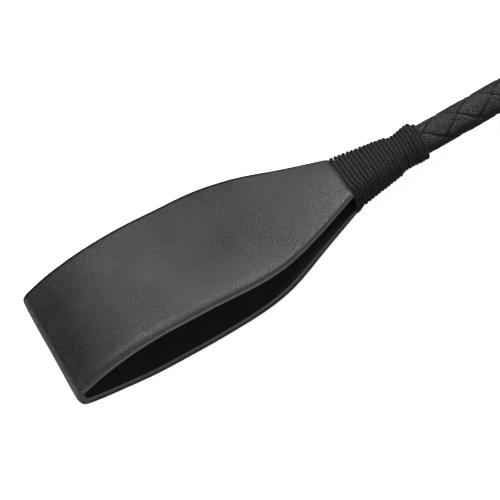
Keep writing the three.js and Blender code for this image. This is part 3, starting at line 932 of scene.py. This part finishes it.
def make_wrist_strap():
    """The strap from one pinned end, round the loop, to the other, with rounded edges."""
    legs = WRIST_LEG_OFFSET
    half = [
        (-11.4, legs), (-5, legs), (0, legs), (8, legs), (17, legs), (34, 5), (62, 15), (92, 23.5),
        (118, 26.5), (137, 22), (146.5, 12),
    ]
    plan = half + [(WRIST_LENGTH, 0)] + [(x, -y) for x, y in half[::-1]]
    line = spline(plan[::-1], 30)
    line = resample(line, np.linspace(0, lengths(line)[-1], 300))
    inner = inset(line, WRIST_THICKNESS)
    edge, count = 0.45, 5
    section = []
    for z_side, depth_side in ((1, 0), (1, 1), (-1, 1), (-1, 0)):
        start = {(1, 0): 180, (1, 1): 90, (-1, 1): 0, (-1, 0): -90}[(z_side, depth_side)]
        for a in np.radians(np.linspace(start, start - 90, count)):
            depth = edge if depth_side == 0 else WRIST_THICKNESS - edge
            z = z_side * (WRIST_WIDTH / 2 - edge)
            section.append((depth + edge * math.cos(a), z + edge * math.sin(a)))
        if depth_side != (z_side > 0):
            continue
        for share in np.linspace(0, 1, 9)[1:-1]:
            depth = WRIST_THICKNESS if depth_side else 0.0
            z = (WRIST_WIDTH / 2 - edge) * z_side * (1 - 2 * share)
            section.append((depth, z))
    rings = np.zeros((len(line), len(section), 3))
    for k, (depth, z) in enumerate(section):
        t = depth / WRIST_THICKNESS
        point = line * (1 - t) + inner * t
        wave = 0.12 * ripples(np.arange(len(line)) * 1.2, z, 30, 31)
        calm = np.clip((point[:, 0] - 17) / 20, 0, 1)
        x = WRIST_START_X + point[:, 0]
        rings[:, k] = np.stack([x, point[:, 1] + wave * calm, np.full(len(line), z)], 1)
    return point_outwards(swept("wrist_strap_leather", droop(rings), [WRIST_LEATHER]))


def make_rivet():
    # One head from the side: height over the leg's face, and radius.
    head = [
        (0.02, 1.5), (0.02, 2.75), (0.25, 2.95), (0.55, 2.85), (0.85, 2.4), (1.1, 1.7), (1.22, 0.9),
        (1.26, 0),
    ]
    head = [(WRIST_LEG_OFFSET + height, radius) for height, radius in head]
    profile = [(-x, radius) for x, radius in head[::-1]] + head
    centre = droop(np.array([[WRIST_START_X + RIVET_X, 0, 0]]))[0]
    return turned("strap_rivet_heads", profile, STEEL, 64, "Y", centre)


# ---- assembly ------------------------------------------------------------------------------------


def finish_piece(obj, body, slot, *nodes):
    """Lets the piece ride on its body, in place of the CAD nodes it shows."""
    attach(obj, body)
    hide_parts(*nodes)


keeper = make_keeper()
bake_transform(keeper)
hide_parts("keeper_face", "keeper_lining", "keeper_tail_upper", "keeper_tail_lower")

for piece in (make_binding(), make_buried_tail(), make_start_end()):
    finish_piece(piece, "crop", "binding_cord", "binding_cord")

for strand_way, side_name in ((1, "right"), (-1, "left")):
    for strand in range(3):
        node = f"plait_strand_{side_name}_{strand + 1}"
        finish_piece(make_strand(strand_way, strand), "crop", "plait_leather", node)


def front_base(x):
    """What the front knot lies on: the shaft, then the grip."""
    return np.interp(x, [339, 343.5, 348.5], [SHAFT_RADIUS, SHAFT_RADIUS + 0.3, GRIP_RADIUS])


for piece in make_knot("front_knot_lace", 346.4, 6.4, front_base):
    finish_piece(piece, "crop", "knot_leather", "front_knot")
for piece in make_knot("rear_knot_lace", 446.3, 6.3, lambda x: np.full_like(x, GRIP_RADIUS)):
    finish_piece(piece, "crop", "knot_leather", "rear_knot")

finish_piece(make_grip_wrap(), "crop", "grip_leather", "grip_wrap")
finish_piece(make_cap(), "crop", "cap_plastic", "butt_cap")
finish_piece(make_pin(), "crop", "steel", "butt_pin")

wrist = make_wrist_strap()
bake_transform(wrist)
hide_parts("wrist_strap", "strap_end_left", "strap_end_right")
finish_piece(make_rivet(), "wrist_loop", "steel", "strap_rivet")

for node, material in (("core_rod", ROD), ("shaft_bolster", TAPE), ("grip_core", RUBBER)):
    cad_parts[node].data.materials.clear()
    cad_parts[node].data.materials.append(material)


# ---- stage, light and camera ---------------------------------------------------------------------


# Each light: its place from the keeper's middle, its size and its power, in metres and watts.
LIGHTS = [
    ("top", (0.0, 0.5, 1.0), (0.3, 0.3), 5.1),
    ("near_right", (0.36, 0.1, 0.28), (0.2, 0.2), 2.9),
    ("front", (0.1, -1.0, 0.4), (1.2, 0.5), 9.6),
    ("left", (-0.9, 0.2, 0.12), (0.3, 0.2), 3.4),
]
WORLD_STRENGTH = 0.1
FLOOR_GLOW = 0.8

CAMERA_ANGLES = [math.radians(a) for a in (-7.485, 50.78, -23.86)]  # azimuth, elevation and roll
CAMERA_AIM = (73.03, -4.5, 0)
CAMERA_DISTANCE = 769.96
CAMERA_LENS = 169.32


def make_floor():
    n = Nodes("floor")
    coords = n.add("ShaderNodeTexCoord")
    tone = n.noise(coords.outputs["Object"], 3, 2)
    n.link(n.mix(tone, (0.6, 0.6, 0.6), (0.63, 0.63, 0.63)), n.shader.inputs["Base Color"])
    n.shader.inputs["Roughness"].default_value = 0.9
    n.shader.inputs["Specular IOR Level"].default_value = 0.1
    n.shader.inputs["Emission Color"].default_value = (1, 1, 1, 1)
    n.shader.inputs["Emission Strength"].default_value = FLOOR_GLOW
    reach = 3.0
    mesh = bpy.data.meshes.new("floor")
    corners = [(-reach, -reach, 0), (reach, -reach, 0), (reach, reach, 0), (-reach, reach, 0)]
    mesh.from_pydata(corners, [], [(0, 1, 2, 3)])
    mesh.materials.append(n.material)
    floor = bpy.data.objects.new("floor", mesh)
    bpy.context.scene.collection.objects.link(floor)
    # The floor is seen white without throwing that white back up under the crop.
    floor.visible_diffuse = False
    floor.visible_glossy = False


def softbox(name, place, aim, size, power):
    """A rectangular area light that faces its aim."""
    light = bpy.data.lights.new(name, "AREA")
    light.shape = "RECTANGLE"
    light.size, light.size_y = size
    light.energy = power
    obj = bpy.data.objects.new(name, light)
    bpy.context.scene.collection.objects.link(obj)
    obj.location = place
    obj.rotation_euler = (Vector(aim) - Vector(place)).to_track_quat("-Z", "Y").to_euler()


def make_camera():
    """Looks down on the keeper from in front, turned so that the shaft runs up to the right."""
    azimuth, elevation, roll = CAMERA_ANGLES
    level_reach = math.cos(elevation)
    back = Vector((math.sin(azimuth) * level_reach, -math.cos(azimuth) * level_reach, math.sin(elevation)))
    level = Vector((0, 0, 1)).cross(back).normalized()
    upright = back.cross(level)
    right = level * math.cos(roll) + upright * math.sin(roll)
    up = back.cross(right)
    aim = Vector(row(CAMERA_AIM))
    camera = bpy.data.cameras.new("camera")
    camera.lens = CAMERA_LENS
    camera.clip_start = 0.01
    obj = bpy.data.objects.new("camera", camera)
    bpy.context.scene.collection.objects.link(obj)
    turn = Matrix((right, up, back)).transposed().to_4x4()
    obj.matrix_world = Matrix.Translation(aim + back * (CAMERA_DISTANCE * MM)) @ turn
    bpy.context.scene.camera = obj


def make_world():
    """A faint even light from all round."""
    world = bpy.data.worlds.new("studio")
    world.use_nodes = True
    background = world.node_tree.nodes["Background"]
    background.inputs["Color"].default_value = (1, 1, 1, 1)
    background.inputs["Strength"].default_value = WORLD_STRENGTH
    bpy.context.scene.world = world


make_floor()
make_world()
make_camera()
bpy.context.scene.view_settings.view_transform = "Standard"
MIDDLE = row([60, 0, 0])
for light_name, place, size, power in LIGHTS:
    softbox(light_name, MIDDLE + np.array(place), MIDDLE, size, power)
